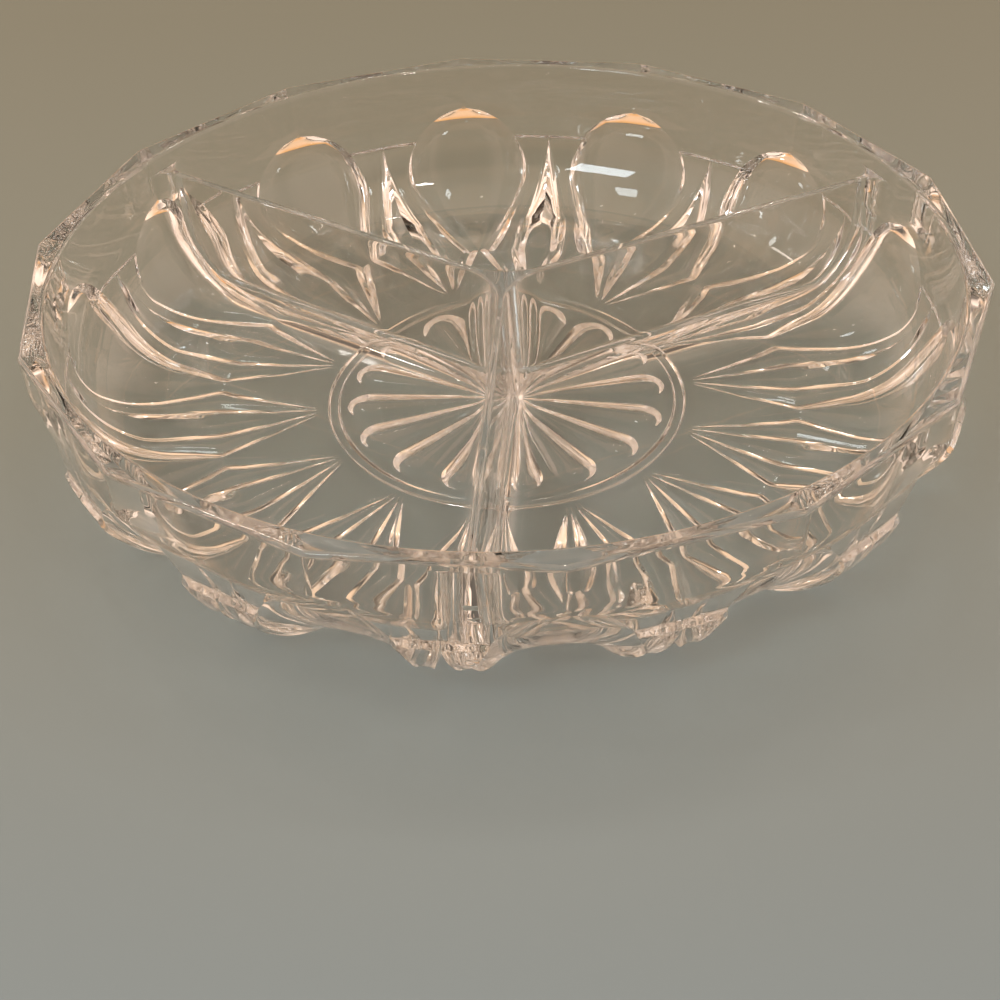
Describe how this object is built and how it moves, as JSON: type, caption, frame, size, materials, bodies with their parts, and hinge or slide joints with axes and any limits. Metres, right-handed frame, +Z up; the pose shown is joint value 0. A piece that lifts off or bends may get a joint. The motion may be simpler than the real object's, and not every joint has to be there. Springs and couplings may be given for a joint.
{
  "type": "relish tray",
  "caption": "Round pressed-glass relish tray with a faceted rim, thumbprint scoops, ribbed fans and a rosette, divided into equal compartments.",
  "frame": {"origin": "centre of the plane that the tray stands on", "axes": "+Z up; the front divider runs from the middle towards -Y; +X to the right"},
  "size_m": [0.2324, 0.2338, 0.044],
  "materials": {
    "glass": "clear pressed glass with a faint warm tint, fire-polished"
  },
  "bodies": {
    "root": {"rim_band": "glass", "side_wall_back": "glass", "side_wall_left": "glass", "side_wall_right": "glass", "bowl_corner_back": "glass", "bowl_corner_left": "glass", "bowl_corner_right": "glass", "floor": "glass", "foot_ring": "glass", "rosette": "glass", "divider_hub": "glass", "divider_front": "glass", "divider_left": "glass", "divider_right": "glass"}
  },
  "joints": []
}
